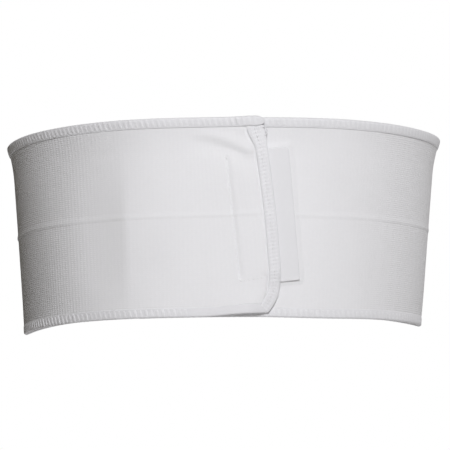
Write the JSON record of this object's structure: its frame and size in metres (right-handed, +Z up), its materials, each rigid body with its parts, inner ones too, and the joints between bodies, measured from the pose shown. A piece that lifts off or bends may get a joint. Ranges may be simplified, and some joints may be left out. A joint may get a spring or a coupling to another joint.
{
  "type": "rib belt",
  "caption": "Wide elastic rib belt: a ribbed strap with sewn edges, closed round the chest by a hook tab under its slanting front flap.",
  "frame": {"origin": "on the axis of the chest that the belt goes round, at the height of the strap's middle line in front", "axes": "+Z up along the chest's axis, -Y out of the front where the belt closes, +X towards the end of the flap"},
  "size_m": [0.355, 0.2573, 0.1723],
  "materials": {
    "elastic_cloth": "matte ribbed weave",
    "edge_thread": "overlock thread",
    "hook_tape": "smooth woven tape"
  },
  "bodies": {
    "root": {"belt_wall": "elastic_cloth", "top_edge": "edge_thread", "bottom_edge": "edge_thread", "flap_end_edge": "edge_thread", "inner_end_edge": "edge_thread", "hook_tab": "hook_tape"}
  },
  "joints": []
}
